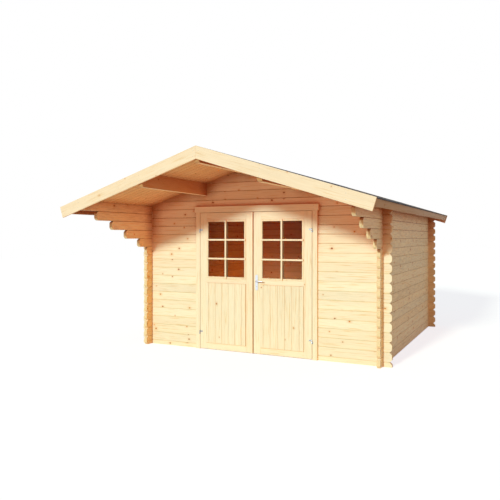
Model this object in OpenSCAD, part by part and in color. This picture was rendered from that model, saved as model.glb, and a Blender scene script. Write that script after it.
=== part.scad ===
// Log-built garden shed with a deep front overhang and a double door.
// X runs across the front, Y from front to back, Z up from the ground. Millimetres.

/* [Log walls] */
// Height of one log course
log_h = 120; // [110:1:130]
// Thickness of the logs
log_t = 45; // [40:1:60]
// Fewest courses in a side wall; a taller door adds more
side_courses = 17; // [15:1:18]
// Width over the outer faces of the side walls
wall_w = 3486; // [3200:10:4200]
// Depth over the outer faces of the front and back walls
wall_d = 3500; // [2400:10:4500]
// How far front and back logs run past the side walls
cross_end = 111; // [90:1:140]
// How far side logs run past the front and back walls
side_end = 132; // [90:1:150]
// Depth of the notch between two log ends
end_notch = 32; // [10:1:36]
// Flat middle of a log end
end_flat = 54; // [30:1:80]
// How round the cheeks of the notch are; 1 is a straight cut
end_curve = 1.4; // [1:0.1:2]
// Chamfer along the edges of each log
log_chamfer = 5; // [3:0.5:8]
// Long logs at the top of each side wall that step out under the roof
corbel_courses = 5; // [3:1:5]
// Reach of the lowest long log ahead of the front wall
corbel_reach = 305; // [200:5:400]
// Step from one long log to the next
corbel_step = 297; // [200:1:320]

/* [Roof] */
// Slope of the roof in degrees
pitch = 17.5; // [15:0.5:20]
// Front face of the barge boards ahead of the front wall
front_overhang = 1500; // [1450:10:1800]
// Rear face of the barge boards behind the back wall
rear_overhang = 200; // [180:10:400]
// Ends of the barge boards beyond the side walls
eave_overhang = 292; // [200:5:350]
// Thickness of the roof boards
roof_board_t = 20; // [16:1:28]
// Thickness of the roofing felt
felt_t = 4; // [3:0.5:6]
// Felt turned down over the eave board
felt_lip = 12; // [10:1:40]
// Width of a barge board
barge_w = 142; // [110:1:160]
// Thickness of a barge board
barge_t = 22; // [18:1:30]
// Width of an eave board
eave_w = 90; // [60:1:120]
// Thickness of an eave board
eave_t = 20; // [16:1:28]
// Set-back of the eave board from the ends of the barge boards
eave_setback = 12; // [10:1:30]
// Width of a purlin
purlin_w = 58; // [45:1:70]
// Height of a purlin
purlin_h = 165; // [140:1:180]
// Middle of a side purlin from the ridge
purlin_x = 780; // [700:5:900]
// Rounding under the ends of a purlin
purlin_round = 40; // [20:1:60]
// Play between the layers of the roof and what carries them
roof_play = 0.1; // [0.05:0.05:0.5]

/* [Doorway] */
// Width of one door leaf
leaf_w = 834; // [760:1:900]
// Height of a door leaf
leaf_h = 1912; // [1880:1:1930]
// Thickness of the stiles and rails
leaf_t = 42; // [38:1:48]
// Leaf above the ground
ground_gap = 10; // [6:1:15]
// Gap between the two leaves
meeting_gap = 8; // [7:0.5:12]
// Gap between a leaf and the frame around it
frame_gap = 5; // [5:0.5:8]
// Leaf and casing ahead of the wall face
casing_t = 30; // [20:1:36]
// Width of the side casings
casing_w = 68; // [60:1:90]
// Casing lapped over the logs
casing_lap = 25; // [15:1:35]
// Smallest head beam over the leaves
head_least = 40; // [20:1:60]
// Height of the head casing
head_casing_h = 85; // [70:1:95]
// Head casing past the side casings
head_casing_ear = 18; // [10:1:40]
// Head casing ahead of the side casings
head_casing_step = 6; // [3:1:10]
// Inner casing thickness
inner_casing_t = 18; // [14:1:24]
// Width of the stop batten
stop_w = 30; // [20:1:40]
// Height of the threshold
threshold_h = 30; // [20:1:40]

/* [Door leaves] */
// Width of a stile
stile_w = 108; // [95:1:120]
// Height of the bottom rail
bottom_rail_h = 85; // [70:1:110]
// Underside of the middle rail above the foot of the leaf
middle_rail_z = 930; // [880:5:1000]
// Height of the middle rail
middle_rail_h = 66; // [50:1:80]
// Height of the top rail
top_rail_h = 102; // [85:1:120]
// Width of a glazing bead
bead_w = 25; // [18:1:32]
// Thickness of a glazing bead
bead_t = 10; // [8:1:16]
// Glazing bead ahead of the stiles
bead_proud = 6; // [2:1:8]
// Thickness of the glass
glass_t = 4; // [3:0.5:6]
// Thickness of the boarded panel
panel_t = 32; // [24:1:36]
// Boarded panel ahead of the stiles
panel_proud = 18; // [6:1:22]
// Width of the cover strip on the left leaf
strip_w = 30; // [24:1:40]
// Thickness of the cover strip
strip_t = 20; // [12:1:24]

/* [Hinges and handle] */
// Radius of a hinge barrel
barrel_r = 7.5; // [6:0.5:8]
// Height of one half of a hinge barrel
barrel_h = 26; // [20:1:32]
// Radius of a hinge pin
pin_r = 4; // [3:0.25:4.5]
// Play between the hinge halves
hinge_play = 0.3; // [0.2:0.05:0.5]
// Hinge axis ahead of the leaf
axis_out = 8.5; // [8.5:0.25:12]
// Lower hinge above the foot of the leaf
low_hinge_z = 226; // [180:1:280]
// Upper hinge below the top of the leaf
high_hinge_drop = 252; // [200:1:300]
// Closed end of a hinge barrel over its pin
barrel_cap = 4; // [3:0.5:6]
// Length of a hinge flap on the leaf
flap_w = 40; // [26:1:50]
// Hinge flap on the casing
frame_flap_w = 12; // [8:1:16]
// Thickness of a hinge flap
flap_t = 2.5; // [2:0.5:3]
// Hinge flap short of the ends of its barrel
flap_inset = 3; // [2:0.5:5]
// Width of the handle plate
plate_w = 38; // [32:1:44]
// Height of the handle plate
plate_h = 212; // [180:1:240]
// Thickness of the handle plate
plate_t = 8; // [5:1:10]
// Middle of the handle plate from the meeting edge
plate_x = 48; // [40:1:56]
// Lever axis above the foot of the leaf
lever_z = 978; // [950:1:1000]
// Lever axis above the middle of the plate
lever_rise = 18; // [10:1:40]
// Radius of the lever
lever_r = 8; // [6:0.5:9]
// Length of the lever from its axis
lever_l = 104; // [95:1:130]
// Lever axis to the leaf face
lever_out = 52; // [44:1:60]
// Play round the lever neck
lever_play = 0.4; // [0.3:0.05:0.8]

/* [Hidden] */
$fn = 48;

// Wood, felt, glass and metal colours
pine = "#f3dcae";
pine_shade = "#e2b985";
felt_grey = "#3d3c42";
pane_tint = "#7d3f1e";
steel = "#b9bcc2";

// Places along the building, with the origin under the middle of the roof
front_y = (front_overhang - wall_d - rear_overhang) / 2;
back_y = front_y + wall_d;
roof_front_y = front_y - front_overhang;
roof_back_y = back_y + rear_overhang;
side_x = wall_w / 2;
half_log = log_h / 2;
lap_h = log_h / 4;
leaf_top = ground_gap + leaf_h;
head_z = leaf_top + frame_gap;
door_courses = ceil((head_z + head_least + half_log) / log_h);
wall_courses = max(side_courses, door_courses);
wall_top = wall_courses * log_h;
over = 1;

// Roof lines: depths are measured square to the slope from the top of the felt
boards_depth = felt_t + roof_play;
boards_foot = boards_depth + roof_board_t;
under_depth = boards_foot + roof_play;
ridge_z = wall_top + tan(pitch) * (side_x - log_t / 2) + under_depth / cos(pitch);
slope_l = (side_x + eave_overhang) / cos(pitch);
eave_face = slope_l - eave_setback;
boards_end = eave_face - eave_t - roof_play;
lip_x = eave_face + roof_play;
function under_roof_z(x) = ridge_z - abs(x) * tan(pitch) - under_depth / cos(pitch);
function slope_point(along, depth) =
    [along * cos(pitch) - depth * sin(pitch), ridge_z - along * sin(pitch) - depth * cos(pitch)];
function ridge_point(depth) = [0, ridge_z - depth / cos(pitch)];

// Doorway lines
leaf_face_y = front_y - casing_t;
leaf_back_y = leaf_face_y + leaf_t;
leaf_in = meeting_gap / 2;
leaf_out = leaf_in + leaf_w;
jamb_x = leaf_out + frame_gap;
casing_x = jamb_x + casing_w;
opening_x = casing_x - casing_lap;
stop_y = leaf_back_y + frame_gap;
inner_face_y = front_y + log_t;

// Glazed opening and panel of a leaf
middle_top = ground_gap + middle_rail_z + middle_rail_h;
top_rail_z = leaf_top - top_rail_h;
panel_z = ground_gap + bottom_rail_h;
panel_h = middle_rail_z - bottom_rail_h;
panel_y = leaf_face_y - panel_proud;
bead_y = leaf_face_y - bead_proud;
pane_y = bead_y + bead_t;

// Hinge and lever axes
axis_x = leaf_out + frame_gap / 2;
axis_y = leaf_face_y - axis_out;
hinge_zs = [ground_gap + low_hinge_z, leaf_top - high_hinge_drop];
lever_x = leaf_in + plate_x;
lever_axis_z = ground_gap + lever_z;
neck_r = lever_r + 1;

// Shapes drawn flat and then drawn out along X, along Y or upwards

module along_x(x0, x1) {
    translate([x0, 0, 0]) rotate([90, 0, 90]) linear_extrude(x1 - x0) children();
}

module along_y(y0, y1) {
    translate([0, y1, 0]) rotate([90, 0, 0]) linear_extrude(y1 - y0) children();
}

module upwards(z0, z1) {
    translate([0, 0, z0]) linear_extrude(z1 - z0) children();
}

module block(low, high) {
    translate(low) cube(high - low);
}

module both_sides() {
    children();
    mirror([1, 0, 0]) children();
}

module on_left() {
    mirror([1, 0, 0]) children();
}

// Log courses

end_chord = (log_h - end_flat) / 2;
end_steps = 4;

// End of one log between the edges z0 and z1, facing +1 or -1, cut back to a notch at both edges
function log_end(reach, facing, z0, z1) = [
    for (half = [-1, 1], i = [0 : end_steps])
        let (rise = half < 0 ? i / end_steps - 1 : i / end_steps)
        [reach - facing * end_notch * pow(abs(rise), end_curve),
         (half < 0 ? z0 + end_chord : z1 - end_chord) + end_chord * rise]
];

function reversed(points) = [for (i = [len(points) - 1 : -1 : 0]) points[i]];

// Side view of a stack of logs, given its joint heights and how far each log reaches
module log_stack(joints, low_reaches, high_reaches) {
    last = len(joints) - 2;
    high = [for (k = [0 : last]) each log_end(high_reaches[k], 1, joints[k], joints[k + 1])];
    low = [for (k = [0 : last]) each log_end(low_reaches[k], -1, joints[k], joints[k + 1])];
    polygon(concat(high, reversed(low)));
}

// Cross-section of a stack of logs with chamfered edges, centred on its thickness
module log_section(joints) {
    face = log_t / 2;
    last = len(joints) - 1;
    edge = concat(
        [for (k = [0 : last - 1]) each [
            [face - log_chamfer, joints[k]],
            [face, joints[k] + log_chamfer],
            [face, joints[k + 1] - log_chamfer]]],
        [[face - log_chamfer, joints[last]]]);
    polygon(concat(edge, reversed([for (p = edge) [-p[0], p[1]]])));
}

// All that lies below the roof boards
module below_roof(y0, y1) {
    far = slope_l;
    along_y(y0, y1)
        polygon([[-far, -over], [far, -over], [far, under_roof_z(far)],
                 [0, under_roof_z(0)], [-far, under_roof_z(far)]]);
}

// Logs of the right side wall from one course to another, with pockets for the crossing logs.
// The top log is drawn taller than its course, for the roof to cut.
module right_side_logs(first, last, front_reaches) {
    spare = last == wall_courses - 1 ? log_t : 0;
    joints = concat([for (k = [first : last]) k * log_h], [(last + 1) * log_h + spare]);
    back_reaches = [for (reach = front_reaches) back_y + side_end];
    difference() {
        intersection() {
            along_x(side_x - log_t, side_x) log_stack(joints, front_reaches, back_reaches);
            translate([side_x - log_t / 2, 0, 0])
                along_y(roof_front_y, roof_back_y) log_section(joints);
        }
        for (wall_y = [front_y, back_y - log_t], k = [first : last + 1])
            block([side_x - log_t - over, wall_y, k * log_h - lap_h],
                  [side_x + over, wall_y + log_t, k * log_h + (k == wall_courses ? log_h : lap_h)]);
    }
}

// Logs of the front or back wall between two courses, clipped to x0 and x1,
// with pockets for the crossing side logs
module cross_logs(x0, x1, wall_y, first, last) {
    reach = side_x + cross_end;
    joints = [for (k = [first : last + 1]) k * log_h - half_log];
    lows = [for (k = [first : last]) -reach];
    highs = [for (k = [first : last]) reach];
    difference() {
        intersection() {
            along_y(wall_y, wall_y + log_t) log_stack(joints, lows, highs);
            translate([0, wall_y + log_t / 2, 0])
                rotate([0, 0, 90]) along_y(-x1, -x0) log_section(joints);
            block([x0, wall_y - over, 0], [x1, wall_y + log_t + over, joints[last - first + 1]]);
        }
        both_sides()
            for (k = [max(0, first - 1) : min(last, wall_courses - 1)])
                block([side_x - log_t, wall_y - over, k * log_h + lap_h],
                      [side_x, wall_y + log_t + over, (k + 1) * log_h - lap_h]);
    }
}

// Gable logs from the given course up, cut to the roof and notched for the purlins
module gable_logs(wall_y, first) {
    last = ceil((under_roof_z(0) + half_log) / log_h) - 1;
    reach = side_x + cross_end;
    difference() {
        intersection() {
            cross_logs(-reach - over, reach + over, wall_y, first, last);
            below_roof(wall_y - over, wall_y + log_t + over);
        }
        for (x = [-purlin_x, 0, purlin_x])
            block([x - purlin_w / 2, wall_y - over, under_roof_z(x) - purlin_h],
                  [x + purlin_w / 2, wall_y + log_t + over, under_roof_z(0) + over]);
    }
}

module right_lower_logs() {
    last = wall_courses - corbel_courses - 1;
    right_side_logs(0, last, [for (k = [0 : last]) front_y - side_end]);
}

// Long logs, each one stepping further out, the top one as far as the barge board
module right_long_logs() {
    top_reach = front_overhang - barge_t;
    steps = [for (k = [0 : corbel_courses - 2]) min(top_reach, corbel_reach + k * corbel_step)];
    fronts = [for (reach = concat(steps, [top_reach])) front_y - reach];
    intersection() {
        right_side_logs(wall_courses - corbel_courses, wall_courses - 1, fronts);
        below_roof(roof_front_y, roof_back_y);
    }
}

module right_front_logs() {
    cross_logs(opening_x, side_x + cross_end + over, front_y, 0, door_courses - 1);
}

module left_wall() { color(pine) on_left() right_lower_logs(); }
module right_wall() { color(pine) right_lower_logs(); }
module left_corbel_logs() { color(pine) on_left() right_long_logs(); }
module right_corbel_logs() { color(pine) right_long_logs(); }
module front_wall_left() { color(pine) on_left() right_front_logs(); }
module front_wall_right() { color(pine) right_front_logs(); }
module front_gable() { color(pine) gable_logs(front_y, door_courses); }
module back_wall() {
    reach = side_x + cross_end + over;
    color(pine) cross_logs(-reach, reach, back_y - log_t, 0, wall_courses - 1);
}
module back_gable() { color(pine) gable_logs(back_y - log_t, wall_courses); }

// Roof

// Purlin with rounded lower ends, planed to the slope of the roof
module purlin(x) {
    y0 = roof_front_y + barge_t;
    y1 = roof_back_y - barge_t;
    foot = under_roof_z(x) - purlin_h;
    intersection() {
        along_x(x - purlin_w / 2, x + purlin_w / 2) {
            translate([y0 + purlin_round, foot]) square([y1 - y0 - 2 * purlin_round, 2 * purlin_h]);
            translate([y0, foot + purlin_round]) square([y1 - y0, 2 * purlin_h - purlin_round]);
            for (y = [y0 + purlin_round, y1 - purlin_round])
                translate([y, foot + purlin_round]) circle(purlin_round);
        }
        below_roof(y0, y1);
    }
}

module ridge_purlin() { color(pine_shade) purlin(0); }
module left_purlin() { color(pine_shade) purlin(-purlin_x); }
module right_purlin() { color(pine_shade) purlin(purlin_x); }

// Layer of the right roof slope between two depths, from the ridge down to its end
module right_slope(y0, y1, depth0, depth1, end) {
    along_y(y0, y1)
        polygon([ridge_point(depth0), slope_point(end, depth0),
                 slope_point(end, depth1), ridge_point(depth1)]);
}

module right_boards() {
    right_slope(roof_front_y + barge_t, roof_back_y - barge_t, boards_depth, boards_foot, boards_end);
}

// Felt over the boards, turned down over the eave board
module right_felt() {
    along_y(roof_front_y + barge_t, roof_back_y - barge_t)
        polygon([ridge_point(0), slope_point(lip_x + felt_t, 0),
                 slope_point(lip_x + felt_t, felt_lip), slope_point(lip_x, felt_lip),
                 slope_point(lip_x, felt_t), ridge_point(felt_t)]);
}

// Eave board across the ends of the roof boards
module right_eave() {
    along_y(roof_front_y + barge_t, roof_back_y - barge_t)
        polygon([slope_point(eave_face - eave_t, boards_depth), slope_point(eave_face, boards_depth),
                 slope_point(eave_face, boards_depth + eave_w),
                 slope_point(eave_face - eave_t, boards_depth + eave_w)]);
}

module right_barge(y0) {
    right_slope(y0, y0 + barge_t, 0, barge_w, slope_l);
}

module left_roof_boards() { color(pine_shade) on_left() right_boards(); }
module right_roof_boards() { color(pine_shade) right_boards(); }
module left_roof_felt() { color(felt_grey) on_left() right_felt(); }
module right_roof_felt() { color(felt_grey) right_felt(); }
module left_eave_board() { color(pine) on_left() right_eave(); }
module right_eave_board() { color(pine) right_eave(); }
module front_left_barge_board() { color(pine) on_left() right_barge(roof_front_y); }
module front_right_barge_board() { color(pine) right_barge(roof_front_y); }
module back_left_barge_board() { color(pine) on_left() right_barge(roof_back_y - barge_t); }
module back_right_barge_board() { color(pine) right_barge(roof_back_y - barge_t); }

// Doorway

// Post with a groove over the log ends, its flanges forming the casings
module right_post() {
    inner_y = inner_face_y + inner_casing_t;
    upwards(0, head_z)
        polygon([[jamb_x, leaf_face_y], [casing_x, leaf_face_y], [casing_x, front_y],
                 [opening_x, front_y], [opening_x, inner_face_y], [casing_x, inner_face_y],
                 [casing_x, inner_y], [jamb_x, inner_y]]);
}

module left_door_post() { color(pine) on_left() right_post(); }
module right_door_post() { color(pine) right_post(); }

// Stop battens behind the leaves, up both posts and under the head
module door_stops() {
    inside_x = jamb_x - stop_w;
    color(pine) along_y(stop_y, inner_face_y)
        polygon([[-jamb_x, 0], [-inside_x, 0], [-inside_x, head_z - stop_w],
                 [inside_x, head_z - stop_w], [inside_x, 0], [jamb_x, 0],
                 [jamb_x, head_z], [-jamb_x, head_z]]);
}

module door_head() {
    color(pine) block([-opening_x, front_y, head_z],
                      [opening_x, inner_face_y, door_courses * log_h - half_log]);
}

module head_casings() {
    ear_x = casing_x + head_casing_ear;
    casing_top = head_z + head_casing_h;
    color(pine) {
        block([-ear_x, leaf_face_y - head_casing_step, head_z], [ear_x, front_y, casing_top]);
        block([-casing_x, inner_face_y, head_z], [casing_x, inner_face_y + inner_casing_t, casing_top]);
    }
}

module threshold() {
    inside_x = jamb_x - stop_w;
    color(pine_shade)
        block([-inside_x, stop_y, 0], [inside_x, inner_face_y + inner_casing_t, threshold_h]);
}

// Door leaves, drawn for the right-hand one

module right_stiles() {
    block([leaf_in, leaf_face_y, ground_gap], [leaf_in + stile_w, leaf_back_y, leaf_top]);
    block([leaf_out - stile_w, leaf_face_y, ground_gap], [leaf_out, leaf_back_y, leaf_top]);
}

// Plate or rail fitted between the stiles
module between_stiles(y0, y1, z0, z1) {
    block([leaf_in + stile_w, y0, z0], [leaf_out - stile_w, y1, z1]);
}

module right_rails() {
    between_stiles(leaf_face_y, leaf_back_y, ground_gap, panel_z);
    between_stiles(leaf_face_y, leaf_back_y, panel_z + panel_h, middle_top);
    between_stiles(leaf_face_y, leaf_back_y, top_rail_z, leaf_top);
}

module right_panel() {
    between_stiles(panel_y, panel_y + panel_t, panel_z, panel_z + panel_h);
}

module right_glass() {
    between_stiles(pane_y, pane_y + glass_t, middle_top, top_rail_z);
}

// Glazing beads on both faces of the glass
module right_beads() {
    low_x = leaf_in + stile_w;
    high_x = leaf_out - stile_w;
    for (y0 = [bead_y, pane_y + glass_t])
        along_y(y0, y0 + bead_t)
            difference() {
                translate([low_x, middle_top]) square([high_x - low_x, top_rail_z - middle_top]);
                translate([low_x + bead_w, middle_top + bead_w])
                    square([high_x - low_x - 2 * bead_w, top_rail_z - middle_top - 2 * bead_w]);
            }
}

// Upper halves of the hinges, bored for the pins, with flaps on the leaf
module right_hinges() {
    for (z = hinge_zs) {
        z0 = z + hinge_play;
        z1 = z + barrel_h;
        difference() {
            union() {
                translate([axis_x, axis_y, z0]) cylinder(h = z1 - z0, r = barrel_r);
                block([leaf_out - flap_w, leaf_face_y - flap_t, z0 + flap_inset],
                      [axis_x, leaf_face_y, z1 - flap_inset]);
            }
            translate([axis_x, axis_y, z0 - over])
                cylinder(h = z1 - barrel_cap - z0 + over, r = pin_r + hinge_play);
        }
    }
}

// Lower halves of the hinges with their pins, on flaps on the casing
module right_hinge_pins() {
    for (z = hinge_zs) {
        translate([axis_x, axis_y, z - barrel_h]) cylinder(h = barrel_h, r = barrel_r);
        translate([axis_x, axis_y, z - over])
            cylinder(h = barrel_h - barrel_cap - hinge_play + over, r = pin_r);
        block([axis_x, leaf_face_y - flap_t, z - barrel_h + flap_inset],
              [jamb_x + frame_flap_w, leaf_face_y, z - flap_inset]);
    }
}

module hinge_pins() { color(steel) both_sides() right_hinge_pins(); }

module left_door_stiles() { color(pine) on_left() right_stiles(); }
module left_door_rails() { color(pine) on_left() right_rails(); }
module left_door_panel() { color(pine) on_left() right_panel(); }
module left_door_beads() { color(pine) on_left() right_beads(); }
module left_door_glass() { color(pane_tint) on_left() right_glass(); }
module left_door_hinges() { color(steel) on_left() right_hinges(); }

// Strip that covers the gap between the leaves, flush with the edge of the left leaf
module cover_strip() {
    color(pine) block([-leaf_in - strip_w, leaf_face_y - strip_t, ground_gap],
                      [-leaf_in, leaf_face_y, leaf_top]);
}

// Round bar along Y on the lever's axis
module on_lever_axis(y0, y1, r) {
    translate([lever_x, y1, lever_axis_z]) rotate([90, 0, 0]) cylinder(h = y1 - y0, r = r);
}

module right_door_stiles() {
    color(pine) difference() {
        right_stiles();
        on_lever_axis(leaf_face_y - over, leaf_back_y + over, neck_r + lever_play);
    }
}

module right_door_rails() { color(pine) right_rails(); }
module right_door_panel() { color(pine) right_panel(); }
module right_door_beads() { color(pine) right_beads(); }
module right_door_glass() { color(pane_tint) right_glass(); }
module right_door_hinges() { color(steel) right_hinges(); }

// Long plates with round ends on both faces of the stile
module handle_plates() {
    round_r = plate_w / 2;
    foot = lever_axis_z - lever_rise - plate_h / 2;
    color(steel)
        for (y0 = [leaf_face_y - plate_t, leaf_back_y])
            difference() {
                along_y(y0, y0 + plate_t) {
                    translate([lever_x - round_r, foot + round_r]) square([plate_w, plate_h - plate_w]);
                    translate([lever_x, foot + round_r]) circle(round_r);
                    translate([lever_x, foot + plate_h - round_r]) circle(round_r);
                }
                on_lever_axis(y0 - over, y0 + plate_t + over, neck_r + lever_play);
            }
}

// Levers on both faces of the door, joined by the neck that turns in the plates
module lever_handle() {
    outer_y = leaf_face_y - lever_out;
    inner_y = leaf_back_y + lever_out;
    color(steel) {
        on_lever_axis(outer_y, inner_y, neck_r);
        for (y = [outer_y, inner_y]) {
            translate([lever_x, y, lever_axis_z]) sphere(neck_r);
            translate([lever_x, y, lever_axis_z]) rotate([0, 90, 0]) cylinder(h = lever_l, r = lever_r);
            translate([lever_x + lever_l, y, lever_axis_z]) sphere(lever_r);
        }
    }
}

left_wall();
right_wall();
left_corbel_logs();
right_corbel_logs();
front_wall_left();
front_wall_right();
front_gable();
back_wall();
back_gable();
ridge_purlin();
left_purlin();
right_purlin();
left_roof_boards();
right_roof_boards();
left_roof_felt();
right_roof_felt();
front_left_barge_board();
front_right_barge_board();
back_left_barge_board();
back_right_barge_board();
left_eave_board();
right_eave_board();
left_door_post();
right_door_post();
door_stops();
door_head();
head_casings();
threshold();
hinge_pins();
left_door_stiles();
left_door_rails();
left_door_panel();
left_door_beads();
left_door_glass();
left_door_hinges();
cover_strip();
right_door_stiles();
right_door_rails();
right_door_panel();
right_door_beads();
right_door_glass();
right_door_hinges();
handle_plates();
lever_handle();
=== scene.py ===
"""Log-built garden shed: the looks of its timber, felt, glass and steel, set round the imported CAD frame."""
import math

import bmesh
import bpy
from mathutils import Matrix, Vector, noise


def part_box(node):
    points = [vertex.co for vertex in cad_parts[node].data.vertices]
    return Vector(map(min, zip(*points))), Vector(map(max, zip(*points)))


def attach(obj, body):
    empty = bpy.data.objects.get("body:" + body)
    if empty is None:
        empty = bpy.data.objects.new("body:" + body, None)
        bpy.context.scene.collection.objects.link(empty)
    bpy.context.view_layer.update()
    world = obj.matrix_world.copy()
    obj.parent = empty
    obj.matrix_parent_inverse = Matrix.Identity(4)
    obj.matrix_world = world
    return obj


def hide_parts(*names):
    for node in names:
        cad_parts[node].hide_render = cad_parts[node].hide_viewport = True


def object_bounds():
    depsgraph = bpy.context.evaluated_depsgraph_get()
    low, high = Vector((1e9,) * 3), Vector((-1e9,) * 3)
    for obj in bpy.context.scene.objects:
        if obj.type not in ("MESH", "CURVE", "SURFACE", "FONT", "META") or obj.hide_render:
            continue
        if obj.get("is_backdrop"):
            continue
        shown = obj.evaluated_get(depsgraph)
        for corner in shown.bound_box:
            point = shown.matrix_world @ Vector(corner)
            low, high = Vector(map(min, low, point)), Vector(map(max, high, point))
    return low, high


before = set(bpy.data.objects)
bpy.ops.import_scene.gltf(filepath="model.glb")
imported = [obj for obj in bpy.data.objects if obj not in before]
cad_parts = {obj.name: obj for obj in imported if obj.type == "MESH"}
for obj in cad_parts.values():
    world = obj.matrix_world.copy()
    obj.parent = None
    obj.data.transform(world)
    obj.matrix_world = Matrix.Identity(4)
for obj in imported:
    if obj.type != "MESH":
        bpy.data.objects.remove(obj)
cad_low, cad_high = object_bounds()
scene = bpy.context.scene
hands = ((-1, "left"), (1, "right"))


# Log walls
# Planed spruce logs of one section are stacked on tongues, with a small bevel along every edge.
# They cross at the corners in half-laps and run past each other with rounded ends.

log_height = 0.12
joint_reach = 0.0036
knot_cell = (0.46, 0.125)
knot_sizes = (0.0045, 0.011)
knot_stretch = 0.8
halo_spread = 2.4
core_rim = (1.12, 0.82)
heart_rim = (0.9, 0.6)
live_knots = (0.42, 0.52)
log_knots = 0.58
# Shares of the painted corner shade on the cross logs and on the side logs
log_corner_shade = 2.1
side_corner_shade = 2.0
log_flecks = 0.14
side_flecks = 0.6
ring_spacing = 0.0105
ring_slope = 26.0
ring_wander = 9.0
ring_bend = 1.7
late_fade = 2.6
end_rings = 230.0
pith_drift = (0.0, 0.05, 0.03)
board_shift = (37.0, 0.4, 5.0)
slow_grain = (0.8, 10.0, 10.0)
fibre_grain = (8.0, 560.0, 560.0)
fleck_grain = (7.0, 58.0, 58.0)
streak_grain = (3.2, 95.0, 95.0)
streak_levels = (0.54, 0.72)
board_tone = 0.1
slow_tone = 0.16
fibre_tone = 0.22
late_share = 0.5
red_boards = (0.3, 1.0, 0.0, 0.55)
streak_share = 0.7
halo_share = 0.5
end_ring_share = 0.6
fibre_roughness = (-0.4, 0.4, 0.46, 0.66)
fibre_relief = 0.7
late_relief = 0.5
knot_relief = -0.4
pale_wood = (251, 242, 208)
late_wood = (243, 224, 170)
heart_wood = (250, 229, 184)
streak_wood = (234, 200, 132)
knot_halo = (222, 170, 98)
knot_wood = (162, 86, 38)
knot_bark = (126, 62, 26)
knot_amber = (204, 138, 64)
end_wood = (250, 232, 180)
end_ring = (220, 172, 110)
joint_tint = (0.72, 0.82, 0.63)
side_joint_tint = (0.52, 0.46, 0.4)
bounce_tint = (1.32, 0.53, 0.15, 1.0)
low_bounce_tint = (1.08, 0.66, 0.24, 1.0)
bounce_from = (1.0, 1.9)
end_facing = (0.55, 0.8)
far_face_boards = 40.0
wood_gloss = 0.12
wood_relief = {"Strength": 0.35, "Distance": 0.0008}
# Painted shade in corners: its tint, the reach of the occlusion and the heights over which it sets in
corner_shade_tint = (0.5, 0.25, 0.13)
corner_shade_reach = 0.22
corner_shade_from = (1.3, 1.9)


def linear(screen):
    """Linear colour of a colour given in screen values from 0 to 255."""
    parts = [value / 255 for value in screen]
    return tuple(p / 12.92 if p < 0.04045 else ((p + 0.055) / 1.055) ** 2.4 for p in parts) + (1.0,)


class Wiring:
    """Adds nodes to a tree, with sockets or plain values for their inputs."""

    def __init__(self, tree):
        self.tree = tree

    def fill(self, socket, value):
        if isinstance(value, bpy.types.NodeSocket):
            self.tree.links.new(value, socket)
        else:
            socket.default_value = value

    def node(self, kind, inputs=None, **settings):
        made = self.tree.nodes.new(kind)
        for key, value in settings.items():
            setattr(made, key, value)
        for key, value in (inputs or {}).items():
            self.fill(made.inputs[key], value)
        return made

    def math(self, operation, *values):
        return self.node("ShaderNodeMath", dict(enumerate(values)), operation=operation).outputs[0]

    def vector(self, operation, *values):
        made = self.node("ShaderNodeVectorMath", dict(enumerate(values)), operation=operation)
        return made.outputs["Value" if operation == "LENGTH" else "Vector"]

    def mix(self, share, low, high):
        made = self.node("ShaderNodeMix", {0: share, 6: low, 7: high}, data_type="RGBA")
        return made.outputs[2]

    def step(self, value, low, high, out_low=0.0, out_high=1.0, shape="SMOOTHSTEP"):
        made = self.node("ShaderNodeMapRange", interpolation_type=shape)
        for key, given in zip(range(5), (value, low, high, out_low, out_high)):
            self.fill(made.inputs[key], given)
        return made.outputs[0]

    def noise(self, place, detail=2.0, scale=1.0):
        made = self.node("ShaderNodeTexNoise", {"Vector": place, "Scale": scale, "Detail": detail})
        return made.outputs["Fac"]


def new_paint(name):
    """A new material, the wiring of its nodes and its main shader."""
    material = bpy.data.materials.new(name)
    material.use_nodes = True
    return material, Wiring(material.node_tree), material.node_tree.nodes["Principled BSDF"]


def sockets(tree, inputs, outputs):
    """Gives a node group its named sockets and returns its inner ends."""
    for way, named in (("INPUT", inputs), ("OUTPUT", outputs)):
        for name, kind in named.items():
            tree.interface.new_socket(name, in_out=way, socket_type="NodeSocket" + kind)
    return tree.nodes.new("NodeGroupInput").outputs, tree.nodes.new("NodeGroupOutput").inputs


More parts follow.
